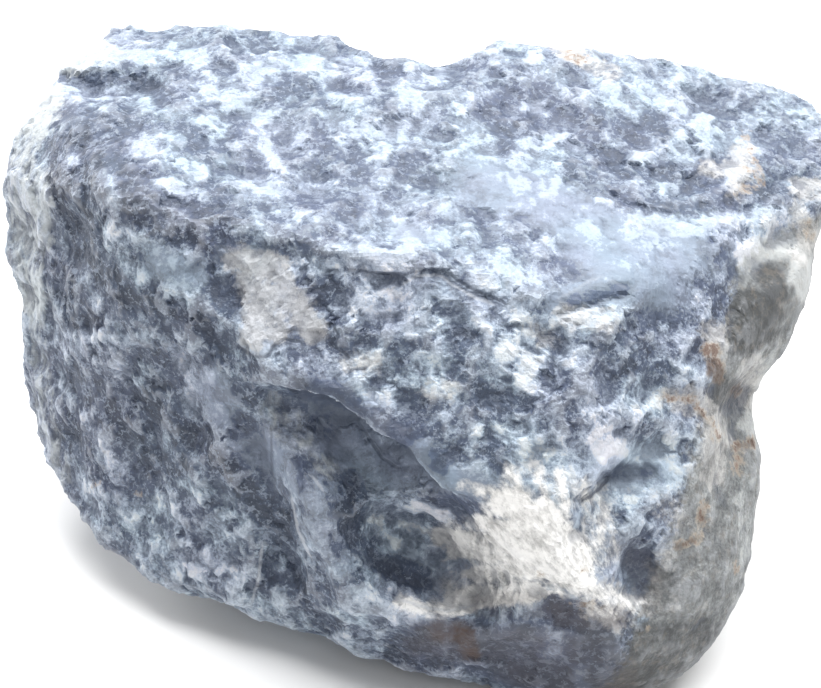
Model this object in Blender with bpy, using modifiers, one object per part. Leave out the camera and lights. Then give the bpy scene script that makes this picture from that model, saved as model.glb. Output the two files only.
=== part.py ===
"""A rough block of anhydrite, broken on top and in front and water-worn on its right side.

The block is one stone. Its corners are joined into a convex block, the hollows that breaking left are
cut from it, rounded lumps are joined to it, and its skin is roughened. It rests on a small flat spot.

Metres, +Z up. The origin is under the middle of the block, on the surface that it rests on.
The front, where two broken faces meet in a corner, looks along -Y.
"""

import math
import random

import bmesh
import bpy
import numpy as np
from mathutils import Matrix, Vector, noise

MM = 0.001

# Corners of the block in millimetres, as (x, y, z) before it is set on its flat spot
BROKEN_TOP = {
    "back left": (-40.5, 35.0, 61.5),
    "left": (-46.2, 26.0, 59.5),
    "left shoulder": (-49.4, 17.8, 56.0),
    "left front": (-35.2, -4.8, 59.3),
    "left ledge": (-25.1, -6.1, 58.6),
    "left front ledge": (-18.7, -9.2, 57.8),
    "middle ledge": (-5.9, -15.7, 57.2),
    "right of middle ledge": (4.4, -17.2, 57.0),
    "front ledge": (22.6, -20.5, 53.8),
    "right rim": (41.2, -4.3, 51.6),
    "right corner": (54.6, 6.8, 52.2),
    "right back": (56.8, 17.8, 55.3),
    "back right end": (53.0, 22.6, 57.4),
    "back right": (39.5, 26.0, 60.0),
    "back bump": (18.9, 28.0, 62.2),
    "back middle": (-7.0, 28.5, 62.2),
    "back left middle": (-23.2, 30.5, 62.2),
}
LEFT_EDGE = {
    "high": (-52.6, 13.4, 51.0),
    "upper middle": (-53.2, 11.4, 45.0),
    "middle": (-53.0, 6.8, 26.0),
    "low": (-51.0, 1.2, 13.0),
}
FRONT_RIDGE = {
    "left end": (-22.6, -14.4, 50.0),
    "left": (-17.7, -19.2, 46.0),
    "left middle": (-8.4, -22.6, 42.0),
    "middle": (-0.2, -28.0, 39.0),
    "right middle": (5.5, -31.6, 35.3),
    "front corner": (16.3, -37.0, 31.5),
    "right": (36.2, -19.4, 41.0),
    "right low": (30.6, -25.3, 36.0),
}
RIGHT_SIDE = {
    "waist": (45.0, -9.0, 27.0),
    "middle": (44.8, -14.7, 20.0),
    "low": (43.5, -25.3, 11.0),
    "foot": (41.2, -29.8, 8.0),
}
FOOT = {
    "left end": (-46.0, -6.2, 10.0),
    "left": (-39.9, -14.0, 7.5),
    "left front": (-33.5, -18.5, 7.0),
    "front left": (-26.7, -21.0, 6.5),
    "front left middle": (-15.9, -24.5, 4.6),
    "front middle": (-4.1, -28.4, 2.9),
    "front": (9.6, -32.4, 2.3),
    "front corner": (20.7, -35.0, 1.8),
    "front right": (29.4, -34.6, 1.9),
    "right corner": (36.4, -32.3, 3.5),
    "right": (44.0, 4.0, 11.0),
    "back right": (39.0, 22.0, 9.0),
    "back": (4.0, 28.0, 8.0),
    "back left": (-38.0, 24.0, 11.0),
}
FRONT_RIM = {
    "left": (-12.0, -28.0, 15.0),
    "middle left": (-4.0, -32.2, 15.5),
    "middle": (4.6, -34.6, 15.0),
    "right": (12.5, -36.4, 18.0),
    "far right": (26.0, -37.2, 14.0),
}
BACK = {
    "left": (-48.0, 25.0, 38.0),
    "middle": (-12.0, 34.0, 34.0),
    "right": (50.0, 23.0, 38.0),
}
FLAT_SPOT = {
    "left": (-24.0, -4.0, 0.0),
    "front left": (-8.0, -18.0, 0.0),
    "front": (14.0, -27.0, 0.0),
    "front right": (29.0, -26.0, 0.0),
    "right": (33.0, -4.0, 0.0),
    "back right": (22.0, 14.0, 0.0),
    "back left": (-14.0, 15.0, 0.0),
}

CORNERS = (BROKEN_TOP, LEFT_EDGE, FRONT_RIDGE, FRONT_RIM, RIGHT_SIDE, FOOT, BACK, FLAT_SPOT)

# Hollows: the middle, the half sizes along the hollow's own axes, and its turns about X, Y and Z in degrees
HOLLOWS = {
    "under_ridge": ((-5.0, -29.6, 34.3), (16.5, 8.6, 6.2), (-14.0, 24.0, -33.0)),
    "front_bowl": ((0.8, -38.8, 25.2), (12.6, 15.5, 9.0), (-14.0, 14.0, -22.0)),
    "right_notch": ((31.0, -34.2, 36.2), (8.6, 9.5, 4.6), (0.0, -26.0, 32.0)),
    "right_recess": ((50.2, -19.0, 34.0), (9.0, 12.0, 8.0), (0.0, 20.0, 35.0)),
    "right_trough": ((62.0, 4.0, 26.5), (17.8, 40.0, 13.5), (0.0, 0.0, 0.0)),
    "rim_gap": ((62.0, -6.0, 47.8), (12.0, 15.0, 3.4), (0.0, 0.0, 0.0)),
    "back_notch": ((3.0, 37.0, 65.0), (13.0, 13.0, 7.0), (30.0, 0.0, 0.0)),
    "back_left_notch": ((-21.0, 38.0, 66.0), (7.0, 8.0, 6.0), (30.0, 0.0, 0.0)),
    "back_scoop": ((24.0, 42.0, 30.0), (26.0, 15.0, 22.0), (0.0, 0.0, 8.0)),
    "back_left_scoop": ((-34.0, 43.0, 22.0), (17.0, 14.0, 15.0), (0.0, 0.0, -12.0)),
}

# Lumps joined to the block, given as the hollows are
LUMPS = {
    "knob": ((43.5, 0.5, 43.5), (9.3, 8.0, 7.6), (0.0, 12.0, 20.0)),
    "right_bulge": ((30.0, -18.0, 15.0), (14.2, 16.3, 13.0), (0.0, 0.0, -25.0)),
}

# Ways into the stone from its faces
INWARD = {
    "top": (0.0, 0.12, -1.0),
    "front": (0.05, 0.80, -0.60),
    "left front": (0.40, 0.90, -0.15),
    "right front": (-0.45, 0.75, -0.40),
    "right": (-0.85, 0.45, -0.15),
    "left": (0.90, 0.40, -0.10),
}

# Grooves, and with a depth below nothing ribs: face, width and depth in millimetres, and the way they follow
GROOVES = {
    "dish in the top": ("top", 15.0, 0.9, (
        (10.0, -5.0, 57.0), (25.0, -8.0, 55.0))),
    "dish at the left of the top": ("top", 12.0, 0.8, (
        (-24.0, 6.0, 60.0), (-8.0, 2.0, 60.0))),
    "left dent of the top": ("top", 4.5, 1.6, (
        (-43.5, 21.0, 60.0), (-40.0, 20.0, 60.0))),
    "second dent of the top": ("top", 4.0, 1.2, (
        (-36.0, 19.7, 60.0), (-34.0, 19.0, 60.0))),
    "valley of the front": ("front", 8.0, 1.0, (
        (18.0, -21.3, 52.4), (14.6, -28.0, 43.3), (15.7, -34.9, 34.2))),
    "front ridge": ("front", 4.0, -0.9, (
        (-17.5, -19.0, 46.0), (-8.3, -23.5, 43.1), (-0.2, -27.9, 39.3), (5.5, -31.4, 35.6))),
    "crease under the ridge": ("left front", 3.6, 1.8, (
        (-9.0, -23.0, 38.0), (-2.0, -27.0, 35.5), (5.0, -31.0, 32.0), (9.0, -33.0, 30.5))),
    "rib": ("left front", 3.2, -1.3, (
        (-13.4, -21.0, 37.0), (-11.0, -24.0, 29.0), (-9.0, -27.8, 22.3), (-5.6, -30.6, 16.0))),
    "left of the rib": ("left front", 5.0, 1.9, (
        (-19.0, -20.5, 35.0), (-17.0, -23.0, 26.5), (-14.6, -26.0, 15.0))),
    "hollow of the left face": ("left front", 13.0, 1.3, (
        (-36.0, -13.0, 30.0), (-33.0, -15.0, 20.0))),
    "groove of the left face": ("left front", 4.0, 1.0, (
        (-28.0, -12.0, 44.0), (-26.0, -17.0, 32.0), (-22.0, -21.0, 22.0))),
    "crease of the notch": ("right front", 3.8, 2.2, (
        (22.5, -29.5, 31.6), (27.0, -27.0, 33.0), (31.5, -25.0, 36.0))),
    "low dent": ("right front", 4.5, 2.4, (
        (28.4, -31.4, 23.7), (29.4, -33.0, 21.0))),
    "between the rim and the knob": ("right front", 3.4, 1.6, (
        (41.5, -7.5, 49.6), (46.0, -3.5, 49.4), (51.0, 1.0, 49.0))),
    "hollow above the waist": ("right", 5.5, 2.0, (
        (38.6, -18.1, 38.2), (42.0, -14.5, 31.0), (40.0, -21.0, 27.0))),
    "groove of the waist": ("right", 3.0, 1.0, (
        (44.0, -10.0, 33.0), (43.0, -14.0, 25.0), (41.0, -20.0, 18.0))),
}

# Ledges: the ground to the right of the way, as it is walked, is pressed in and comes back over the width
LEDGES = {
    "front ledge of the top": ("top", 7.0, 1.5, (
        (-25.0, -7.0, 56.0), (-18.9, -10.4, 56.0), (-11.7, -13.3, 56.0), (-5.9, -15.9, 56.0),
        (-0.2, -17.2, 56.0), (4.4, -16.4, 56.0), (7.8, -18.2, 56.0), (11.2, -19.9, 56.0))),
    "lip of the chip": ("top", 6.0, 1.8, (
        (18.2, -20.6, 56.0), (20.6, -19.4, 56.0), (23.4, -17.6, 56.0), (26.4, -16.4, 56.0))),
    "back ledge of the top": ("top", 9.0, 1.2, (
        (41.0, 3.0, 56.0), (33.0, 0.0, 56.0), (27.0, 4.0, 56.0), (22.0, 9.0, 56.0),
        (15.0, 12.0, 56.0), (9.0, 12.0, 56.0))),
    "low ledge of the left face": ("left front", 8.0, 1.5, (
        (-19.5, -24.3, 8.0), (-18.2, -24.2, 14.3), (-17.5, -23.8, 20.0))),
    "ledge of the left face": ("left front", 6.0, 1.0, (
        (-33.0, -12.0, 12.0), (-31.0, -11.0, 24.0), (-34.0, -8.0, 36.0))),
}

# A groove or a ledge reaches skin no deeper or higher than this from its way, and a ledge fades in and out
REACH = 9.0
WAY_TAPER = 0.15

# The skin's evenly spaced corners, and the count of triangles that is kept
VOXEL = 1.15 * MM
TRIANGLES = 9200

# Rounds of wearing down, and how soft the worn side and, in the first rounds, all the rest are
WORN_ROUNDS = 14
EDGE_ROUNDS = 3
WORN_SOFTNESS = 0.62
EDGE_SOFTNESS = 0.08

# Uneven ground: the length of its waves and their height, in millimetres
LONG_WAVES = (11.0, 0.45)
SHORT_WAVES = (4.2, 0.22)

# Small flat breaks: how many, their reach and depth in millimetres, and how far they lean
CHIPS = 460
CHIP_SIZE = (3.0, 8.0)
CHIP_DEPTH = (0.10, 0.42)
CHIP_LEAN = 0.24
SEED = 23

# The flat spot is cut this high above the lowest corners
FLAT_CUT = 0.5 * MM

STONE_COLOUR = (0.30, 0.36, 0.44, 1.0)
STONE_ROUGHNESS = 0.6


def clear_scene():
    for old in list(bpy.data.objects):
        bpy.data.objects.remove(old)


def new_collection(name):
    made = bpy.data.collections.new(name)
    bpy.context.scene.collection.children.link(made)
    return made


def anhydrite():
    """The stone's plain material: pale blue grey, and half matt."""
    material = bpy.data.materials.new("anhydrite")
    material.use_nodes = True
    shader = material.node_tree.nodes["Principled BSDF"]
    shader.inputs["Base Color"].default_value = STONE_COLOUR
    shader.inputs["Roughness"].default_value = STONE_ROUGHNESS
    shader.inputs["Metallic"].default_value = 0.0
    return material


def convex_block(collection):
    """The block as it would be with only flat breaks: the convex hull of its corners."""
    block = bmesh.new()
    for group in CORNERS:
        for corner in group.values():
            block.verts.new(Vector(corner) * MM)
    hull = bmesh.ops.convex_hull(block, input=block.verts)
    inside = [v for v in hull["geom_interior"] + hull["geom_unused"] if isinstance(v, bmesh.types.BMVert)]
    bmesh.ops.delete(block, geom=list(set(inside)), context="VERTS")
    bmesh.ops.recalc_face_normals(block, faces=block.faces)
    mesh = bpy.data.meshes.new("block")
    block.to_mesh(mesh)
    block.free()
    made = bpy.data.objects.new("block", mesh)
    collection.objects.link(made)
    return made


def egg(name, middle, half_sizes, turns, collection):
    """An egg-shaped helper at its place, which a Boolean then cuts or joins."""
    ball = bmesh.new()
    bmesh.ops.create_icosphere(ball, subdivisions=4, radius=1.0)
    mesh = bpy.data.meshes.new(name)
    ball.to_mesh(mesh)
    ball.free()
    made = bpy.data.objects.new(name, mesh)
    turn = Matrix.Identity(3)
    for axis, degrees in zip("XYZ", turns):
        turn = Matrix.Rotation(math.radians(degrees), 3, axis) @ turn
    size = Matrix.Diagonal(Vector(half_sizes) * MM)
    mesh.transform((turn @ size).to_4x4())
    made.location = Vector(middle) * MM
    made.hide_render = True
    made.display_type = "WIRE"
    collection.objects.link(made)
    return made


def use_egg(block, name, operation, shape, helpers):
    change = block.modifiers.new(name, "BOOLEAN")
    change.operation = operation
    change.solver = "EXACT"
    change.object = egg(name, *shape, helpers)


def evaluated_mesh(source):
    """The object's mesh with its modifiers, as a mesh of its own."""
    bpy.context.view_layer.update()
    graph = bpy.context.evaluated_depsgraph_get()
    return bpy.data.meshes.new_from_object(source.evaluated_get(graph), depsgraph=graph)


def read_skin(mesh):
    """Places in millimetres and outward directions of the mesh's corners."""
    places = np.empty(3 * len(mesh.vertices))
    mesh.vertices.foreach_get("co", places)
    outward = np.empty(3 * len(mesh.vertices))
    mesh.vertex_normals.foreach_get("vector", outward)
    return places.reshape(-1, 3) / MM, outward.reshape(-1, 3)


def write_skin(mesh, places):
    mesh.vertices.foreach_set("co", (places * MM).ravel())
    mesh.update()


def smooth_step(low, high, value):
    share = np.clip((value - low) / (high - low), 0.0, 1.0)
    return share * share * (3.0 - 2.0 * share)


def worn(places):
    """How worn the skin is, 0 to 1: the right side below the top."""
    x, z = places[:, 0], places[:, 2]
    side = smooth_step(0.0, 7.0, x - 19.0 - 0.36 * z)
    return side * (1.0 - smooth_step(48.0, 52.0, z))


def resting(places):
    """How near the skin is to the flat spot, 0 to 1."""
    return 1.0 - smooth_step(0.5, 3.0, places[:, 2])


def near_way(places, way, inward):
    """For each place, seen along a direction: how far off the way is, on which side of it the place lies,
    how far below it the place is, and at what share of its length that is."""
    gap = np.full(len(places), np.inf)
    side = np.zeros(len(places))
    depth = np.zeros(len(places))
    share = np.zeros(len(places))
    total = sum(np.linalg.norm(end - start) for start, end in zip(way[:-1], way[1:]))
    walked = 0.0
    for start, end in zip(way[:-1], way[1:]):
        step = (end - start) - ((end - start) @ inward) * inward
        off = (places - start) - np.outer((places - start) @ inward, inward)
        part = np.clip(off @ step / (step @ step), 0.0, 1.0)
        off -= part[:, None] * step
        nearer = np.linalg.norm(off, axis=1) < gap
        gap = np.where(nearer, np.linalg.norm(off, axis=1), gap)
        side = np.where(nearer, off @ np.cross(inward, step), side)
        depth = np.where(nearer, (places - start) @ inward - part * ((end - start) @ inward), depth)
        length = np.linalg.norm(end - start)
        share = np.where(nearer, (walked + part * length) / total, share)
        walked += length
    return gap, side, depth, share


def unit(direction):
    return np.array(direction) / np.linalg.norm(direction)


def press_grooves(places):
    for face, width, depth, way in GROOVES.values():
        inward = unit(INWARD[face])
        gap, _, below, _ = near_way(places, np.array(way), inward)
        press = depth * smooth_step(0.0, 1.0, 1.0 - gap / width) * (np.abs(below) < REACH)
        places = places + press[:, None] * inward
    return places


def press_ledges(places):
    for face, width, depth, way in LEDGES.values():
        inward = unit(INWARD[face])
        gap, side, below, share = near_way(places, np.array(way), inward)
        taper = smooth_step(0.0, WAY_TAPER, share) * smooth_step(0.0, WAY_TAPER, 1.0 - share)
        press = depth * taper * np.clip(1.0 - gap / width, 0.0, 1.0) * (side > 0.0) * (np.abs(below) < REACH)
        places = places + press[:, None] * inward
    return places


def wear_down(mesh, places):
    """Rounds the worn side by moving each corner towards the middle of its neighbours."""
    pairs = np.empty(2 * len(mesh.edges), dtype=int)
    mesh.edges.foreach_get("vertices", pairs)
    pairs = pairs.reshape(-1, 2)
    neighbours = np.bincount(pairs.ravel(), minlength=len(places))[:, None]
    for turn in range(WORN_ROUNDS):
        total = np.zeros_like(places)
        np.add.at(total, pairs[:, 0], places[pairs[:, 1]])
        np.add.at(total, pairs[:, 1], places[pairs[:, 0]])
        soft = WORN_SOFTNESS * worn(places)
        if turn < EDGE_ROUNDS:
            soft += EDGE_SOFTNESS
        places = places + (total / neighbours - places) * soft[:, None]
    return places


def roughen(places, outward):
    """Uneven ground, long and short, weaker on the worn side and none at the flat spot."""
    lift = np.zeros(len(places))
    for index, place in enumerate(places):
        long_wave = noise.fractal(Vector(place) / LONG_WAVES[0], 0.9, 2.1, 3)
        short_wave = noise.fractal(Vector(place) / SHORT_WAVES[0] + Vector((7.0, 3.0, 5.0)), 0.8, 2.1, 3)
        lift[index] = LONG_WAVES[1] * long_wave + SHORT_WAVES[1] * short_wave
    lift *= (1.0 - 0.55 * worn(places)) * (1.0 - resting(places))
    return places + lift[:, None] * outward


def chip_off(places, outward):
    """Small flat breaks: each shaves what stands above a leaning plane. The worn side and the foot get none."""
    dice = random.Random(SEED)
    smooth = worn(places) + resting(places)
    for _ in range(CHIPS):
        index = dice.randrange(len(places))
        size = dice.uniform(*CHIP_SIZE)
        depth = dice.uniform(*CHIP_DEPTH)
        lean = np.array([dice.uniform(-1.0, 1.0) for _ in range(3)]) * CHIP_LEAN
        if smooth[index] > 0.4:
            continue
        way_out = unit(outward[index] + lean)
        off = places - places[index]
        far = np.linalg.norm(off, axis=1)
        over = off @ way_out + depth * (1.0 - (far / size) ** 2)
        hit = (far < size) & (over > 0.0) & (outward @ way_out > 0.3)
        places[hit] -= np.minimum(over[hit], 1.6 * depth)[:, None] * way_out
    return places


def cut_flat_spot(mesh, height):
    """Cuts the stone level at a height and closes it with one flat face, the spot that it rests on."""
    stone = bmesh.new()
    stone.from_mesh(mesh)
    everything = stone.verts[:] + stone.edges[:] + stone.faces[:]
    cut = bmesh.ops.bisect_plane(stone, geom=everything, dist=1e-6, plane_co=(0.0, 0.0, height),
                                 plane_no=(0.0, 0.0, -1.0), clear_outer=True)
    rim = [e for e in cut["geom_cut"] if isinstance(e, bmesh.types.BMEdge)]
    bmesh.ops.holes_fill(stone, edges=rim, sides=0)
    bmesh.ops.remove_doubles(stone, verts=stone.verts, dist=0.05 * MM)
    bmesh.ops.recalc_face_normals(stone, faces=stone.faces)
    stone.to_mesh(mesh)
    stone.free()


def set_down(mesh):
    """Moves the stone so that the origin is under the middle of its box."""
    places, _ = read_skin(mesh)
    low, high = places.min(axis=0), places.max(axis=0)
    move = np.array([(low[0] + high[0]) / 2.0, (low[1] + high[1]) / 2.0, low[2]])
    write_skin(mesh, places - move)


def plain_block(helpers):
    """The block with its lumps and hollows, and a skin of evenly spaced corners."""
    block = convex_block(helpers)
    for name, shape in LUMPS.items():
        use_egg(block, name, "UNION", shape, helpers)
    for name, shape in HOLLOWS.items():
        use_egg(block, name, "DIFFERENCE", shape, helpers)
    even = block.modifiers.new("even_skin", "REMESH")
    even.mode = "VOXEL"
    even.voxel_size = VOXEL
    even.adaptivity = 0.0
    mesh = evaluated_mesh(block)
    block.hide_render = True
    block.display_type = "WIRE"
    return mesh


def fewer_triangles(mesh, helpers):
    rough = bpy.data.objects.new("rough_skin", mesh)
    helpers.objects.link(rough)
    fewer = rough.modifiers.new("fewer_faces", "DECIMATE")
    fewer.ratio = TRIANGLES / (2.0 * len(mesh.polygons))
    shaped = evaluated_mesh(rough)
    rough.hide_render = True
    rough.display_type = "WIRE"
    return shaped


def main():
    clear_scene()
    stone_parts = new_collection("rough_anhydrite")
    helpers = new_collection("cutters")
    mesh = plain_block(helpers)
    places, _ = read_skin(mesh)
    places = press_ledges(press_grooves(places))
    write_skin(mesh, wear_down(mesh, places))
    write_skin(mesh, roughen(*read_skin(mesh)))
    write_skin(mesh, chip_off(*read_skin(mesh)))
    shaped = fewer_triangles(mesh, helpers)
    shaped.name = "anhydrite"
    cut_flat_spot(shaped, FLAT_CUT)
    set_down(shaped)
    shaped.materials.clear()
    shaped.materials.append(anhydrite())
    stone_parts.objects.link(bpy.data.objects.new("anhydrite", shaped))


main()
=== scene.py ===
"""Dresses a rough block of anhydrite: its broken skin, its mottled colours, and a plain stage with its camera.

The stone is pale blue-grey and slate, mottled in flakes with ragged edges. Its top is broad and broken, its front
has a ridge with a hollow under it and a white bruise, and its right side is worn smooth, grey, and stained by iron.
"""

import math
import random

import bpy
import numpy as np
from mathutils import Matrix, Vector, noise
from mathutils.bvhtree import BVHTree


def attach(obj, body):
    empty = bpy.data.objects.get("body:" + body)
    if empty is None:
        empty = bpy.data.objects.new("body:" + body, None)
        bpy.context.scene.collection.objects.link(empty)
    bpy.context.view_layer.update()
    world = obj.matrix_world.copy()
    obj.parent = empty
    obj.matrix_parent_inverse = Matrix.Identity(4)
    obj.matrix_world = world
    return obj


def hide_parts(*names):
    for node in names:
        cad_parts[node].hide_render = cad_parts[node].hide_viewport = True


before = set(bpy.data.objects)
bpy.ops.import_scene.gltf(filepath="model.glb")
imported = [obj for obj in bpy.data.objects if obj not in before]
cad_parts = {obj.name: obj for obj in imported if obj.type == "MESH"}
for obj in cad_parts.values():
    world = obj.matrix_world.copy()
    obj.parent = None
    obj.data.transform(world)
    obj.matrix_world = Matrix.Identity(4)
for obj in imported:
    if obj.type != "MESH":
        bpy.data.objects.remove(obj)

bl_info = {
    "name": "Rough anhydrite",
    "version": (1, 0, 0),
    "blender": (4, 5, 0),
    "location": "View3D > Sidebar > Stone",
    "description": "Dresses the anhydrite block and sets its stage",
    "category": "Object",
}

MM = 0.001
NODE = "anhydrite"

# The picture's size, which the marks below are placed in
PICTURE_WIDTH = 821
PICTURE_HEIGHT = 688

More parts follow.
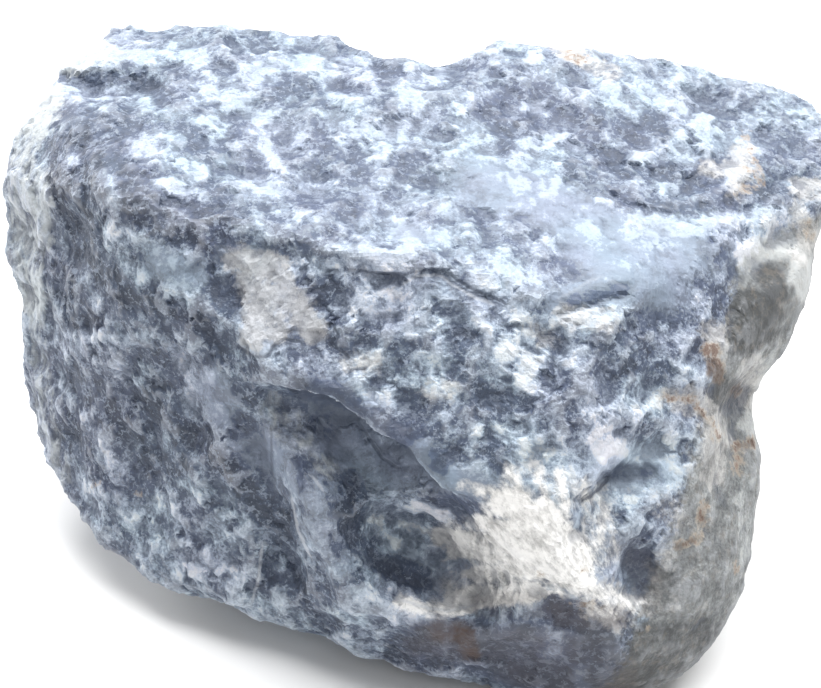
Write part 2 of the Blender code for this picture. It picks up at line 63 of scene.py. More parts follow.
# Marks on the skin as the camera sees it: how strong, how wide in pixels, and the ways that the marks follow, each
# as x, y, x, y and so on. Tone: below nought is slate, above nought is pale; some marks below nought are painted
# shade, and the white gaps at the back are a painted highlight.
TONE_MARKS = {
    "band on the back edge": (-0.3, 9, [
        (100, 32, 130, 24, 165, 27, 200, 34, 238, 46), (245, 56, 300, 44, 345, 52, 380, 66),
        (448, 74, 490, 70, 530, 74)]),
    # Painted highlight along the brightly lit back edge
    "white gaps at the back": (0.9, 8, [
        (62, 60, 95, 50, 118, 54), (170, 52, 208, 60), (352, 62, 366, 72), (424, 64, 442, 74), (128, 56, 158, 60),
        (250, 72, 268, 66), (300, 62, 330, 70)]),
    "dents in the upper left corner": (-0.8, 8, [
        (112, 76, 140, 72), (68, 76, 84, 84, 98, 90), (108, 100, 126, 108)]),
    "dark mottles on the left of the top": (-0.75, 9, [
        (140, 84, 168, 96, 200, 114), (104, 120, 150, 127, 200, 132), (196, 142, 214, 155),
        (228, 146, 246, 160, 260, 176), (286, 154, 300, 162), (206, 186, 225, 200), (284, 84, 305, 88, 322, 98),
        (304, 104, 312, 120, 320, 140), (380, 66, 412, 74), (214, 66, 236, 72), (262, 104, 280, 94),
        (340, 84, 360, 88), (372, 108, 392, 100), (330, 148, 350, 156), (160, 66, 180, 74)]),
    "pale flakes on the left of the top": (0.8, 7, [
        (104, 96), (147, 100), (202, 90, 228, 98), (240, 68, 258, 80), (180, 100, 195, 103),
        (244, 110, 270, 122, 300, 136), (330, 96, 368, 108), (344, 126, 370, 132, 400, 136),
        (130, 158, 165, 152, 200, 170), (160, 186, 198, 196), (250, 183, 276, 186), (170, 132, 182, 138),
        (206, 118, 222, 128), (262, 146, 276, 158), (402, 92, 420, 100)]),
    "dark mottles in the middle of the top": (-0.6, 8, [
        (316, 168), (352, 176, 364, 172), (388, 176, 402, 172), (300, 200, 316, 210), (342, 206, 360, 214),
        (430, 100, 452, 92), (440, 128, 456, 138), (404, 152, 424, 160)]),
    "blue ground in the middle of the top": (-0.2, 26, [(320, 190, 400, 205), (430, 160, 460, 200)]),
    "scallops on the right of the top": (-1.15, 10, [
        (482, 108, 500, 120, 506, 145), (502, 96, 545, 90), (522, 126, 558, 124), (556, 108, 598, 122),
        (582, 134, 612, 160), (572, 168, 596, 184, 618, 186), (602, 158, 640, 172, 650, 196), (622, 190, 650, 206),
        (642, 170, 690, 172, 710, 168), (652, 202, 690, 210), (692, 182, 714, 192), (704, 204, 738, 202),
        (752, 196, 792, 200), (620, 120, 640, 140), (650, 120, 664, 132)]),
    "pale among the scallops": (0.8, 7, [
        (526, 108, 550, 110), (556, 130, 566, 142, 580, 148), (550, 141), (530, 142), (640, 188, 660, 192),
        (626, 78, 650, 96), (645, 90, 680, 112), (640, 160, 668, 156, 690, 160), (598, 78, 612, 90),
        (692, 126, 704, 134), (610, 104, 622, 110)]),
    "far right of the top": (-0.45, 13, [(700, 98, 758, 112), (764, 156, 818, 172), (740, 126, 780, 136)]),
    "green blue at the far right": (0.35, 10, [(762, 106, 800, 118), (704, 128, 738, 144)]),
    "smooth pale of the top": (0.2, 20, [
        (462, 140, 500, 150), (504, 160, 560, 190), (566, 196, 620, 200), (600, 226, 660, 236, 700, 250),
        (600, 262, 690, 280)]),
    # Painted shadow: the chip facet is darkened as a small step in shadow
    "chip facet": (-0.55, 8, [(566, 304, 596, 293, 620, 289)]),
    "rim on the right": (1.0, 11, [(640, 222, 700, 226), (712, 218, 770, 218), (740, 236, 800, 212)]),
    "speckles left of the knob": (-0.6, 9, [(706, 250, 732, 270), (700, 286, 724, 300), (712, 312, 740, 300)]),
    "white band": (1.1, 10, [
        (345, 250, 372, 262, 395, 262, 410, 252), (402, 232, 442, 240), (482, 274, 504, 288), (500, 262, 512, 276)]),
    "white spot": (0.9, 7, [(442, 210, 458, 214)]),
    "blue plates": (-0.15, 16, [
        (425, 286, 490, 300), (412, 188, 470, 226), (446, 250, 500, 254), (520, 230, 560, 270)]),
    "white strips under the crack": (0.9, 6, [
        (372, 314, 392, 314), (446, 322, 498, 328), (408, 332, 440, 334), (330, 306, 352, 312), (382, 292, 400, 296),
        (532, 318, 552, 322), (560, 316, 620, 316)]),
    "left bevel": (-1.05, 13, [(110, 150, 128, 172, 150, 184), (126, 190, 190, 206)]),
    "bevel, upper end": (-0.7, 14, [(60, 112, 96, 126), (96, 126, 106, 150)]),
    "white on the bevel": (0.9, 8, [(158, 186, 200, 198), (106, 162, 113, 200), (96, 128, 108, 150)]),
    "slate under the corner": (-1.6, 11, [
        (58, 148, 80, 136, 98, 160), (66, 180, 92, 176), (86, 200, 100, 214), (56, 170, 60, 200),
        (88, 148, 98, 190)]),
    "pale flake under the corner": (1.2, 7, [(68, 150, 76, 160)]),
    "slate under the left edge": (-1.2, 12, [
        (126, 214, 180, 232, 200, 240), (208, 214, 240, 222), (214, 232, 236, 240)]),
    "flakes under the left edge": (1.0, 6, [(184, 225), (236, 231, 246, 228), (108, 228, 124, 234), (112, 246)]),
    "mottles on the front of the top": (-0.7, 8, [
        (262, 212, 282, 232), (276, 248, 350, 250), (286, 238, 310, 228), (330, 232, 346, 240), (356, 275, 398, 276),
        (300, 288, 318, 282), (306, 300, 318, 306), (330, 288, 350, 284)]),
    "whites on the front of the top": (0.8, 6, [
        (256, 212, 262, 226), (284, 268, 312, 262), (322, 272, 340, 268), (298, 212, 318, 222), (300, 262, 320, 280),
        (262, 234, 272, 244)]),
    "slate beside the beige patch": (-1.0, 9, [
        (208, 258, 214, 282), (212, 288, 226, 306, 238, 296), (202, 308, 206, 324), (316, 290, 326, 300),
        (318, 330, 344, 334), (310, 282, 332, 288)]),
    "beige patch": (0.5, 12, [
        (230, 256, 270, 262), (256, 278, 262, 310, 262, 340), (280, 274, 292, 300, 308, 326), (244, 318, 252, 338),
        (276, 318, 290, 328)]),
    "grey patch on the left face": (0.35, 17, [(158, 262, 186, 272), (160, 282, 196, 280)]),
    "ground of the left face": (-0.55, 50, [(100, 280, 150, 400, 210, 510), (250, 420, 280, 500)]),
    "ground of the left bevel": (-0.5, 22, [(80, 130, 130, 185, 190, 210)]),
    "slate on the left face": (-0.85, 13, [
        (150, 300, 196, 320, 206, 338), (70, 200, 84, 250), (62, 270, 84, 320), (92, 262, 132, 300),
        (150, 350, 172, 380), (206, 344, 222, 356), (76, 370, 110, 420), (120, 420, 150, 470), (224, 462, 252, 496),
        (252, 498, 288, 524), (160, 462, 180, 470), (146, 396, 170, 420), (64, 420, 90, 470), (188, 430, 214, 450),
        (272, 572, 330, 590)]),
    "flakes on the left face": (0.9, 7, [
        (82, 335, 108, 336), (112, 340, 130, 344), (144, 338, 158, 342), (184, 304), (128, 268, 138, 280), (98, 300),
        (120, 370, 134, 380), (84, 388), (126, 520, 134, 526), (152, 526, 158, 532), (176, 356, 192, 398),
        (188, 404, 200, 420), (270, 350, 284, 366), (100, 448, 112, 460), (136, 446), (78, 480, 90, 490),
        (158, 500, 168, 508), (186, 480, 196, 498), (110, 492), (222, 442, 234, 450)]),
    "round grey patch": (0.5, 17, [(212, 386, 226, 412)]),
    "dark spot by the round patch": (-1.5, 8, [(240, 420, 250, 428)]),
    "lilac patches low on the left": (0.45, 12, [(246, 446, 266, 456), (170, 490, 190, 530), (214, 520, 226, 560)]),
    "pale column": (0.6, 9, [(262, 410, 276, 440, 286, 474), (288, 420, 306, 446), (280, 470, 292, 500)]),
    "ground of the rib": (-0.05, 18, [(322, 446, 326, 500, 340, 560)]),
    "streaks on the rib": (0.7, 4, [
        (216, 480, 238, 512, 258, 545), (236, 500, 250, 522, 262, 542), (292, 500, 298, 530, 310, 560, 336, 572),
        (310, 478, 322, 490)]),
    "front facet, slate": (-0.6, 12, [
        (360, 338, 398, 344), (404, 346, 440, 342, 500, 344), (386, 366, 410, 362), (450, 374, 488, 364),
        (462, 386, 510, 394), (384, 396, 416, 402), (470, 410, 520, 412), (410, 426, 456, 430), (540, 344, 566, 352),
        (596, 342, 640, 342), (566, 380, 610, 376), (640, 360, 690, 350), (660, 324, 694, 324), (620, 380, 660, 372),
        (548, 372, 552, 400), (440, 450, 470, 448), (560, 408, 580, 426), (600, 392, 620, 396), (540, 430, 556, 424),
        (612, 424, 640, 430)]),
    "front facet, darkest": (-1.0, 8, [
        (336, 330, 340, 346, 350, 356), (430, 403, 440, 404), (486, 444, 508, 448), (492, 462, 500, 466),
        (600, 334, 610, 330), (612, 362, 630, 366), (560, 350, 556, 360), (452, 330, 470, 332)]),
    "front facet, pale patches": (1.3, 9, [
        (350, 360, 372, 358), (420, 358, 438, 368), (432, 386, 450, 392), (366, 397, 388, 398),
        (506, 350, 530, 362, 552, 356), (524, 378, 540, 392), (524, 334, 544, 344), (566, 362, 570, 352),
        (514, 312, 528, 330), (584, 404, 604, 424), (596, 436, 604, 452), (478, 436, 496, 432),
        (416, 444, 428, 454)]),
    "pale ground above the bruise": (0.75, 18, [
        (520, 440, 560, 450), (530, 475, 590, 480), (640, 400, 660, 394), (580, 450, 612, 446)]),
    "grey facet left of the ridge": (0.1, 12, [(300, 352, 322, 368), (322, 350, 344, 372)]),
    # Painted shade under the ridge
    "dark band under the ridge": (-0.2, 12, [(302, 388, 312, 414, 336, 436), (330, 404, 350, 430)]),
    # Painted shade on the walls of the hollow
    "dark wall of the hollow": (-1.6, 9, [
        (352, 482, 346, 500, 345, 520, 352, 540, 372, 556, 396, 574, 416, 586), (396, 562, 424, 576)]),
    "above the crest": (-1.4, 9, [(296, 384, 334, 390, 372, 412, 410, 440, 440, 464)]),
    # Painted shade on the left wall and the ground of the hollow
    "left wall of the hollow": (-1.2, 9, [(350, 484, 348, 510, 352, 540)]),
    "ground of the hollow": (-0.15, 15, [(374, 496, 392, 530), (392, 500, 412, 530)]),
    "front of the hollow": (0.6, 16, [(410, 556, 450, 572, 470, 586)]),
    "flecks in the hollow": (1.5, 6, [
        (416, 508, 444, 514), (372, 518, 378, 520), (402, 526, 430, 534), (436, 542, 446, 540),
        (384, 534, 396, 542)]),
    # Painted shadow under the crest
    "soft dark under the crest": (-1.0, 8, [(430, 498, 462, 506, 488, 510)]),
    "dark at the foot": (-0.4, 15, [(270, 580, 330, 596), (300, 610, 330, 626), (70, 505, 120, 545)]),
    "pale at the foot": (0.6, 10, [
        (360, 610, 392, 612), (330, 640, 342, 644), (372, 596, 400, 600), (180, 566, 204, 578)]),
    # Painted shade on the underside below the rim
    "under the rim": (-2.3, 16, [
        (430, 640, 480, 640, 530, 640), (400, 650, 440, 656), (560, 612, 610, 628), (580, 650, 620, 665),
        (490, 666, 560, 676), (600, 676, 640, 684)]),
    # Painted shade low on the worn side, where it turns under
    "low on the worn side": (-0.8, 24, [(640, 650, 700, 640), (640, 680, 680, 676)]),
    # Painted shade in the notch
    "dark of the notch": (-0.5, 6, [(614, 474, 646, 475)]),
    "pale round the notch": (0.95, 12, [
        (604, 494, 650, 494), (666, 440, 676, 480), (604, 436, 640, 440), (632, 452, 660, 452)]),
    # Painted shade in the dents of the worn side and at the foot of the soft dent
    "dark dents of the worn side": (-0.9, 10, [(646, 502, 656, 508)]),
    "soft dent of the worn side": (-0.35, 14, [(632, 552, 642, 564)]),
    "foot of the soft dent": (-0.55, 8, [(622, 580, 652, 585)]),
    "dark of the waist": (-1.2, 13, [(706, 340, 756, 342), (716, 392, 734, 396)]),
    "dark of the knob": (-1.6, 11, [(768, 274, 778, 292), (748, 300, 772, 312)]),
    "grey under the knob": (-0.7, 14, [(738, 318, 766, 326)]),
    "pale of the knob": (1.6, 12, [(744, 258, 760, 250, 790, 246), (800, 262, 804, 290)]),
    "pale of the worn side": (0.7, 8, [(744, 500, 747, 560), (770, 345, 752, 400, 748, 430), (690, 440, 694, 470)]),
}

# Calm: little mottling
CALM_MARKS = {
    "smooth top": (0.9, 30, [(480, 180, 540, 200), (560, 210, 620, 240, 690, 250), (590, 250, 660, 285)]),
    "middle of the top": (0.35, 30, [(340, 200, 400, 210, 460, 240)]),
    "chip facet": (1.0, 17, [(562, 304, 596, 290, 620, 288)]),
    "left bevel": (0.45, 20, [(112, 160, 150, 200), (60, 125, 90, 120)]),
    "grey patches": (0.8, 17, [(158, 262, 190, 276), (212, 386, 226, 412), (246, 446, 266, 456)]),
    "rib": (0.45, 18, [(322, 446, 326, 500, 340, 560), (310, 470, 318, 540)]),
    "front of the hollow": (0.6, 20, [(400, 550, 450, 572, 470, 586)]),
    "under the rim": (0.6, 22, [(420, 640, 520, 640, 600, 640), (500, 668, 620, 676)]),
    "knob": (0.7, 26, [(750, 262, 790, 262, 776, 300)]),
    "band under the ridge": (0.85, 19, [(312, 396, 346, 424, 400, 476), (340, 440, 380, 476), (400, 440, 460, 492)]),
    "front edge": (0.4, 13, [(330, 384, 370, 404)]),
    "bruise": (0.6, 40, [(500, 500, 580, 560)]),
    "notch": (0.8, 22, [(610, 466, 660, 470)]),
    "soft dent": (0.2, 20, [(630, 548, 640, 566, 646, 584)]),
    "plates under the crack": (0.55, 12, [(425, 288, 495, 304)]),
    "column": (0.5, 14, [(270, 420, 290, 490)]),
    "beige patch": (0.7, 14, [(230, 256, 270, 262), (256, 278, 262, 310, 262, 340), (280, 274, 308, 326)]),
    "above the crest": (0.3, 9, [(318, 384, 372, 414, 410, 442, 448, 474)]),
}

# Where the ridge runs out, the skin is softened
SOFT_MARKS = {
    "end of the ridge": (1.0, 34, [(474, 520, 500, 550, 520, 590), (490, 500, 520, 540)]),
}

# The white bruise, the warm patches, the iron stain and its rust, painted shade in the soft dent and on the underside
# below the rim, the chalky crust, and a painted highlight along the left edge
BRUISE_MARKS = {
    "heart": (1.1, 11, [(505, 500, 540, 530, 580, 566), (522, 536, 560, 560), (540, 512, 575, 545)]),
    "round the heart": (0.5, 26, [(505, 510, 540, 535, 575, 560)]),
    "crest": (0.6, 5, [(462, 484, 474, 487, 495, 496, 520, 512)]),
    "haze above": (0.35, 17, [(520, 478, 560, 490, 600, 500), (600, 520, 604, 550)]),
    "streaks above": (0.5, 4, [
        (508, 468, 528, 505), (534, 462, 548, 505), (558, 470, 566, 515), (584, 482, 586, 525),
        (604, 505, 600, 540)]),
    "streaks over the hollow": (0.95, 6, [
        (436, 536, 480, 540, 530, 550), (452, 553, 500, 556, 545, 562), (470, 574, 520, 570, 570, 574),
        (480, 520, 520, 534)]),
    "haze over the hollow": (0.55, 18, [(456, 534, 510, 550), (456, 590, 530, 586)]),
    "streaks below": (0.7, 5, [
        (556, 582, 590, 592, 632, 608), (580, 580, 612, 594, 640, 602), (590, 606, 614, 614), (510, 594, 560, 592)]),
    "rim": (0.9, 7, [(400, 602, 440, 611, 470, 606, 500, 598, 540, 590), (450, 600, 490, 592)]),
}

BEIGE_MARKS = {
    "patch": (1.0, 13, [
        (236, 260, 276, 264), (250, 276, 256, 310, 252, 338), (276, 276, 296, 304, 314, 332), (270, 300, 276, 330)]),
    "front right of the top": (0.6, 12, [
        (560, 316, 610, 322), (540, 332, 548, 340), (350, 360, 372, 364), (430, 390, 450, 392)]),
    "back edge": (0.7, 9, [(566, 52, 612, 74), (706, 168, 740, 172)]),
    "waist": (0.9, 12, [
        (690, 396, 712, 420, 720, 440), (716, 350, 712, 330), (752, 366, 748, 400), (668, 398, 690, 400),
        (716, 446, 712, 476)]),
    "right corner": (0.8, 12, [(798, 208, 808, 236, 802, 252), (742, 150, 736, 190), (800, 188, 818, 192)]),
    "below the bruise": (0.7, 16, [(560, 578, 640, 606), (480, 560, 520, 586), (596, 606, 620, 618)]),
    "worn dents": (0.4, 14, [(660, 560, 670, 600), (660, 500, 676, 520)]),
}

STAIN_MARKS = {
    "top": (0.8, 4, [(745, 134, 752, 152, 757, 168, 760, 184), (742, 168, 762, 172), (736, 190, 752, 188)]),
    "back": (0.7, 5, [(556, 50, 574, 47, 590, 54), (566, 56, 584, 60)]),
    "corner": (0.7, 6, [(806, 222, 810, 236)]),
    "waist": (1.0, 7, [(708, 348, 714, 362, 718, 376)]),
    "tan ridge": (0.9, 5, [(664, 397, 692, 399), (698, 408, 710, 420, 718, 438), (716, 350, 704, 352)]),
    "lower waist": (0.8, 6, [(736, 446, 752, 442), (740, 454, 737, 470)]),
    "low": (0.75, 6, [(703, 506, 702, 524), (680, 545, 692, 541, 702, 536)]),
    "spots": (0.9, 4, [(738, 392), (735, 567), (650, 628), (585, 571), (541, 576), (95, 485), (138, 494)]),
    "red streak": (0.75, 4, [(574, 604, 600, 606)]),
}

RUST_AND_SHADE_MARKS = {
    # Painted shade: the soft dent's dark brown
    "soft dent": (0.38, 19, [(626, 546, 640, 564, 648, 584)]),
    "under the rim": (0.8, 8, [(462, 638, 472, 652)]),
    # Partly brown, partly painted shade of the underside below the rim
    "lower under the rim": (0.4, 20, [(420, 640, 520, 648, 600, 650), (520, 672, 620, 680)]),
    "beside it": (0.5, 13, [(440, 628, 460, 632), (480, 606, 560, 606), (560, 614, 620, 616)]),
    "waist": (1.2, 6, [(712, 366, 718, 378), (736, 390)]),
    "lower waist": (0.7, 5, [(736, 446, 750, 443), (680, 546, 690, 542), (702, 518)]),
}

CHALK_AND_HIGHLIGHT_MARKS = {
    # Painted highlight: the bright fringe along the left edge and the upper left corner
    "left edge": (0.8, 14, [(18, 140, 22, 200, 26, 260, 36, 300), (40, 100, 26, 140), (38, 180, 40, 240)]),
    "lower left edge": (0.5, 10, [(34, 300, 38, 350, 46, 420, 66, 480)]),
    "upper left corner": (0.8, 12, [(56, 96, 40, 128), (70, 66, 100, 52)]),
    "column": (0.45, 10, [(296, 420, 310, 450, 330, 470), (272, 400, 280, 440)]),
}

# Lines: how strong, and the ways that they follow
# Dark lines: some are cracks, and some are painted shadow under steps and lips and painted shade in creases
DARK_LINES = {
    # The crack across the top: partly a crack, partly painted shadow under its step
    "crack across the top": (0.75, [(398, 279, 412, 271, 444, 269, 452, 276, 470, 288, 490, 297, 506, 303)]),
    "edge of the beige patch": (0.9, [(238, 346, 254, 356, 268, 357, 274, 345, 284, 339, 300, 342)]),
    "zigzag": (1.0, [(332, 322, 337, 334, 335, 346, 346, 356)]),
    # Painted shade in the crease under the ridge
    "crease under the ridge": (0.6, [(358, 420, 370, 440, 384, 458, 398, 468)]),
    # Painted shadow under the chip facet's lip
    "under the chip facet": (0.25, [(560, 312, 584, 305, 604, 297, 626, 292)]),
    # Painted shade in the crease of the notch
    "notch": (1.2, [(584, 500, 598, 490, 606, 480)]),
    "curve in a pale patch": (0.7, [(362, 378, 372, 372, 384, 370)]),
    "line beside the column": (0.7, [(271, 430, 272, 468)]),
    "scallop edges": (0.3, [
        (504, 96, 500, 118, 512, 140), (582, 148, 596, 166, 602, 186), (640, 206, 672, 214, 700, 212)]),
    # Painted shadow under the step below the white band
    "under the white band": (1.0, [(352, 270, 380, 272, 398, 273)]),
}

WHITE_LINES = {
    "under the crack": (0.7, [(404, 284, 416, 276, 440, 275, 452, 284, 474, 297, 492, 304)]),
    "edge of the rib": (0.8, [(252, 600, 258, 580, 262, 548), (292, 498, 298, 530, 310, 556)]),
    "in the rib": (0.7, [(312, 476, 322, 490)]),
    # Painted highlight on the chip facet's upper edge
    "above the chip facet": (0.15, [(560, 298, 600, 276, 625, 288)]),
    "rim of the hollow": (0.8, [(396, 598, 420, 606, 446, 611, 480, 604)]),
}

# Relief of single marks: height in millimetres, width in pixels, and the ways that they follow
RELIEF_MARKS = {
    "crease under the ridge": (-0.25, 7, [(356, 416, 370, 440, 384, 458, 398, 468)]),
    "notch": (-0.8, 5, [(582, 502, 598, 490, 608, 478)]),
    "notch bed": (-0.2, 7, [(612, 470, 650, 472)]),
    "dent of the worn side": (-0.2, 16, [(632, 556, 642, 576)]),
    "foot of the zigzag": (-0.4, 5, [(332, 322, 337, 334, 335, 346, 346, 356)]),
    "dents in the upper left corner": (-0.5, 7, [(112, 76, 140, 72), (68, 76, 84, 84, 98, 90)]),
    "back edge": (-0.8, 14, [(240, 38, 300, 36, 345, 44, 385, 58, 450, 62)]),
    "humps of the back edge": (0.6, 8, [(285, 42, 330, 42), (388, 62, 410, 62)]),
    "edge of the rib": (0.2, 5, [(292, 498, 298, 530, 310, 560, 334, 574), (252, 600, 258, 580, 262, 548)]),
    "fibres of the bruise": (0.25, 4, [
        (500, 500, 560, 540), (470, 530, 560, 556), (520, 560, 600, 590), (560, 590, 630, 606), (560, 480, 570, 520),
        (600, 490, 590, 530)]),
    "wall of the hollow": (-0.4, 7, [(352, 484, 345, 520, 356, 546, 396, 574)]),
}

# Ledges: drop in millimetres, fading in pixels, and the edge; the skin drops on the right of the way
LEDGES = {
    "crack across the top": (0.45, 16, (352, 270, 398, 275, 412, 270, 444, 268, 470, 287, 506, 303)),
    "chip facet": (0.3, 9, (560, 312, 584, 305, 604, 297, 626, 292)),
    "beige patch": (0.35, 14, (238, 346, 254, 356, 268, 357, 274, 345, 300, 340)),
    "band on the back edge": (0.35, 12, (352, 62, 366, 72, 442, 80, 450, 72)),
    "scallops": (0.2, 14,
        (486, 104, 502, 122, 508, 146, 560, 128, 584, 150, 604, 186, 650, 208, 700, 212, 742, 204)),
    "slate under the left edge": (0.35, 12, (244, 218, 206, 204, 180, 206, 124, 206)),
}

# Fields painted from marks: the marks, and for the sides that the camera doesn't see, how long the patches are in
# millimetres and above which noise they start
PAINTS = {
    "bruise": (BRUISE_MARKS, 9.0, 0.65),
    "beige": (BEIGE_MARKS, 12.0, 0.4),
    "stain": (STAIN_MARKS, 7.0, 0.7),
    "rust": (RUST_AND_SHADE_MARKS, 5.0, 0.75),
    "chalk": (CHALK_AND_HIGHLIGHT_MARKS, 14.0, 0.5),
}
LINES = {"dark_line": DARK_LINES, "white_line": WHITE_LINES}

# How far from a line its field still counts, in pixels
LINE_REACH = 12.0

# The skin between these heights goes from flat to fully rough, so that the flat spot stays flat
FOOT = (0.5 * MM, 2.5 * MM)

# Small breaks: widths in millimetres, depths as a share of the greatest, and how much their planes lean
CHIP_WIDTHS = (1.2, 4.2)
CHIP_DEPTHS = (0.25, 1.0)
CHIP_LEAN = 0.22

# The end of the ridge is softened by this many rounds
SOFT_ROUNDS = 500

# The bruise's streaks: the pixel that they run out from, how many fit in a radian, and how long they are in pixels
FIBRE_MIDDLE = (664.0, 652.0)
FIBRES = 16.0
FIBRE_LENGTH = 45.0

# Lamps: place and size in metres
SOFT_LAMP = ((0.08, 0.16, 0.62), (0.8, 0.6))
RIM_LAMP = ((-0.40, 0.26, 0.16), (0.25, 0.25))
LAMP_AIM = (0.0, 0.0, 0.03)

SENSOR = 36.0
FLOOR_SIZE = 4.0


def length_property(name, description, millimetres):
    return bpy.props.FloatProperty(
        name=name, description=description, default=millimetres * MM, unit="LENGTH", precision=5)


def colour_property(name, description, default):
    return bpy.props.FloatVectorProperty(
        name=name, description=description, subtype="COLOR", size=4, min=0.0, max=1.0, default=(*default, 1.0))


class StoneShape(bpy.types.PropertyGroup):
    """Sizes of the stone's skin."""

    voxel: length_property("Grid", "Spacing of the skin's corners", 0.58)
    soften: bpy.props.IntProperty(name="Soften", description="Rounds of smoothing before the relief", default=4)
    waves: length_property("Waves", "Height of the uneven ground", 0.16)
    wave_length: length_property("Wave length", "Length of the uneven ground's waves", 2.8)
    dents: length_property("Dents", "Depth of the dents of the worn side", 0.35)
    dent_length: length_property("Dent length", "Width of the dents of the worn side", 6.0)
    plates: length_property("Plates", "Height of the leaning plates", 0.30)
    plate_size: length_property("Plate size", "Width of a plate", 2.4)
    chips: bpy.props.IntProperty(
        name="Chips", description="Small flat breaks on the broken faces", default=2600)
    chip_depth: length_property("Chip depth", "Greatest depth of a small break", 0.2)
    seed: bpy.props.IntProperty(name="Seed", description="Start of the scattered breaks and the plates", default=7)


class StoneLook(bpy.types.PropertyGroup):
    """Colours of the stone."""

    slate: colour_property("Slate", "Darkest flakes", (0.072, 0.094, 0.149))
    middle: colour_property("Blue grey", "Middle tone of the mass", (0.160, 0.193, 0.250))
    pale: colour_property("Pale", "Pale flakes", (0.335, 0.39, 0.475))
    white: colour_property("White", "Sugary white", (0.60, 0.625, 0.665))
    bruise: colour_property("Bruise", "Crushed white of the bruise", (0.88, 0.87, 0.85))
    beige: colour_property("Beige", "Warm patches", (0.405, 0.398, 0.388))
    # Chalk is also the colour of the painted highlight along the left edge
    chalk: colour_property("Chalk", "Pale crust of the left edge", (0.50, 0.53, 0.53))
    worn: colour_property("Worn", "The worn side", (0.176, 0.183, 0.180))
    tan: colour_property("Tan", "Thin iron stain", (0.44, 0.36, 0.27))
    iron: colour_property("Iron", "Thick iron stain", (0.15, 0.092, 0.072))


class StoneStage(bpy.types.PropertyGroup):
    """Camera and light."""

    elevation: bpy.props.FloatProperty(
        name="Elevation", description="Camera's height above the horizon", default=math.radians(38.0),
        subtype="ANGLE")
    field: bpy.props.FloatProperty(
        name="Field of view", description="Across the picture", default=math.radians(28.0), subtype="ANGLE")
    distance: length_property("Distance", "From the camera to its aim", 219.52)
    aim: bpy.props.FloatVectorProperty(
        name="Aim", description="The point in the middle of the picture", subtype="XYZ_LENGTH", precision=5,
        default=(-0.766 * MM, 4.169 * MM, 29.5 * MM))
    sky: bpy.props.FloatProperty(name="Sky", description="Strength of the even light", default=0.47)
    lamp: bpy.props.FloatProperty(name="Lamp", description="Power of the large soft lamp in watts", default=11.9)
    rim: bpy.props.FloatProperty(name="Rim", description="Power of the lamp behind the left edge", default=1.6)


def unit(vector):
    return np.array(vector, dtype=float) / np.linalg.norm(vector)


def smooth_step(low, high, value):
    share = np.clip((value - low) / (high - low), 0.0, 1.0)
    return share * share * (3.0 - 2.0 * share)


def apply_modifier(thing, kind, **settings):
    """Adds a modifier to the active object and applies it."""
    bpy.ops.object.modifier_add(type=kind)
    modifier = thing.modifiers[-1]
    for name, value in settings.items():
        setattr(modifier, name, value)
    bpy.ops.object.modifier_apply(modifier=modifier.name)


class View:
    """The camera as numbers: its place, its axes, and its length in pixels."""

    def __init__(self, stage):
        tilt = stage.elevation
        self.back = np.array((0.0, -math.cos(tilt), math.sin(tilt)))
        self.right = np.array((1.0, 0.0, 0.0))
        self.up = np.cross(self.back, self.right)
        self.eye = np.array(stage.aim) + self.back * stage.distance
        self.length = PICTURE_WIDTH / 2.0 / math.tan(stage.field / 2.0)

    def pixels(self, places):
        """Where in the picture the places are, across and down."""
        off = places - self.eye
        depth = -(off @ self.back)
        across = PICTURE_WIDTH / 2.0 + self.length * (off @ self.right) / depth
        down = PICTURE_HEIGHT / 2.0 - self.length * (off @ self.up) / depth
        return np.stack((across, down), axis=1)


def read_skin(mesh):
    """Places and outward directions of the mesh's corners."""
    places = np.empty(3 * len(mesh.vertices))
    mesh.vertices.foreach_get("co", places)
    outward = np.empty(3 * len(mesh.vertices))
    mesh.vertex_normals.foreach_get("vector", outward)
    return places.reshape(-1, 3), outward.reshape(-1, 3)


def write_skin(mesh, places):
    mesh.vertices.foreach_set("co", places.ravel())
    mesh.update()


def write_field(mesh, name, values):
    field = mesh.attributes.get(name) or mesh.attributes.new(name, "FLOAT", "POINT")
    field.data.foreach_set("value", np.asarray(values, dtype=np.float32))


def read_field(mesh, name):
    values = np.empty(len(mesh.vertices), dtype=np.float32)
    mesh.attributes[name].data.foreach_get("value", values)
    return values.astype(float)


def put_in_order(mesh):
    """Sorts the corners and the faces by place, so that a draw picks the same corner each run."""
    places = np.empty((len(mesh.vertices), 3), dtype=np.float32)
    mesh.vertices.foreach_get("co", places.ravel())
    quads = np.empty(len(mesh.loops), dtype=np.int32)
    mesh.loops.foreach_get("vertex_index", quads)
    if len(quads) != 4 * len(mesh.polygons):
        raise RuntimeError("the stone's skin isn't all four-sided faces")
    order = np.lexsort(places.T)
    rank = np.empty(len(order), dtype=np.int64)
    rank[order] = np.arange(len(order))
    quads = rank[quads.reshape(-1, 4)]
    turn = (quads.argmin(axis=1)[:, None] + np.arange(4)) % 4
    quads = np.take_along_axis(quads, turn, axis=1)
    quads = quads[np.lexsort(quads.T[::-1])]
    mesh.clear_geometry()
    mesh.from_pydata(places[order].tolist(), [], quads.tolist())
    mesh.update()


def seen_share(mesh, places, outward, view):
    """How well the camera sees each corner, 0 to 1: it faces the camera and nothing hides it."""
    to_eye = view.eye - places
    to_eye /= np.linalg.norm(to_eye, axis=1)[:, None]
    share = smooth_step(-0.05, 0.15, np.einsum("ij,ij->i", to_eye, outward))
    tree = BVHTree.FromPolygons([v.co for v in mesh.vertices], [p.vertices for p in mesh.polygons])
    starts = places + outward * 0.8 * MM
    for index in np.nonzero(share > 0.0)[0]:
        if tree.ray_cast(Vector(starts[index]), Vector(to_eye[index]))[0] is not None:
            share[index] = 0.0
    return share


